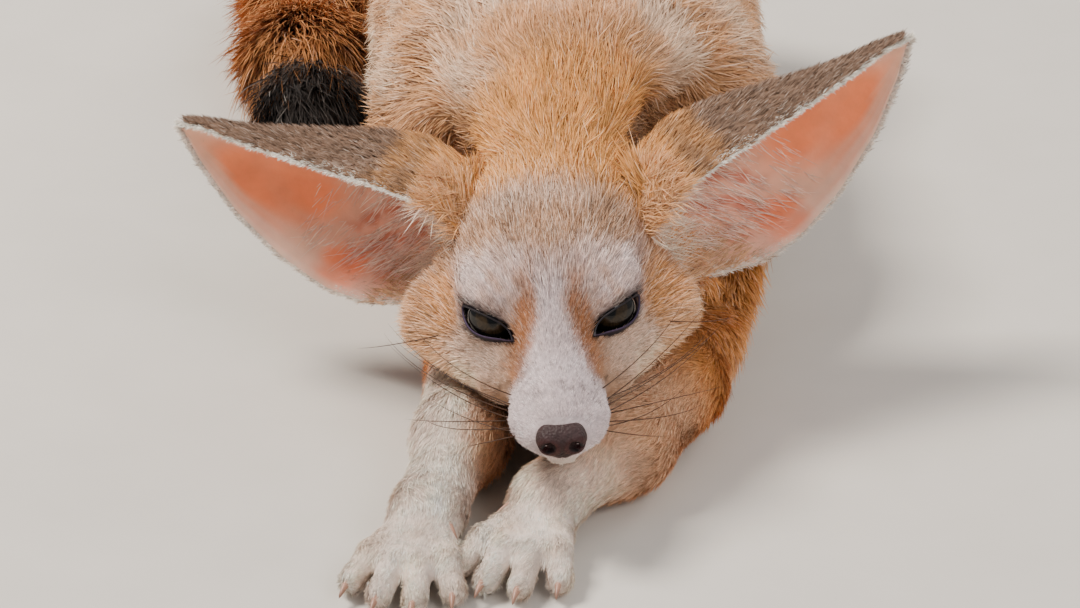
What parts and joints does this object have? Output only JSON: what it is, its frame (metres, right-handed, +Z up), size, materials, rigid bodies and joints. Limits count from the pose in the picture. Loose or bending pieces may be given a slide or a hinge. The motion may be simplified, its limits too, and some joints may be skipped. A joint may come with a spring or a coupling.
{
  "type": "fennec fox",
  "caption": "Life-size fennec fox lying on its belly, forelegs stretched out and crossed, head low, large ears spread to the sides.",
  "frame": {"origin": "centre of the outline on the floor, at floor level", "axes": "+Z up, +Y from the nose towards the tail, +X to the fox's left"},
  "size_m": [0.1954, 0.4005, 0.1034],
  "materials": {
    "sand_fur": "short sandy fur",
    "pale_fur": "short whitish fur",
    "tail_fur": "bushy orange-brown fur",
    "black_fur": "black-brown tail tip fur",
    "ear_skin": "thin skin with fine hair",
    "eye": "wet and glossy",
    "nose_skin": "moist, finely grained skin"
  },
  "bodies": {
    "root": {"torso": "sand_fur", "neck": "sand_fur", "head": "sand_fur", "lower_jaw": "pale_fur", "nose": "nose_skin", "eye_left": "eye", "eye_right": "eye", "ear_left": "ear_skin", "ear_right": "ear_skin", "upper_arm_left": "sand_fur", "upper_arm_right": "sand_fur", "forearm_left": "sand_fur", "forearm_right": "sand_fur", "forepaw_left": "pale_fur", "forepaw_right": "pale_fur", "thigh_left": "sand_fur", "thigh_right": "sand_fur", "shank_left": "sand_fur", "shank_right": "sand_fur", "hindfoot_left": "pale_fur", "hindfoot_right": "pale_fur", "tail_base": "sand_fur", "tail_bend": "tail_fur", "tail_middle": "tail_fur", "tail_tip": "black_fur"}
  },
  "joints": []
}
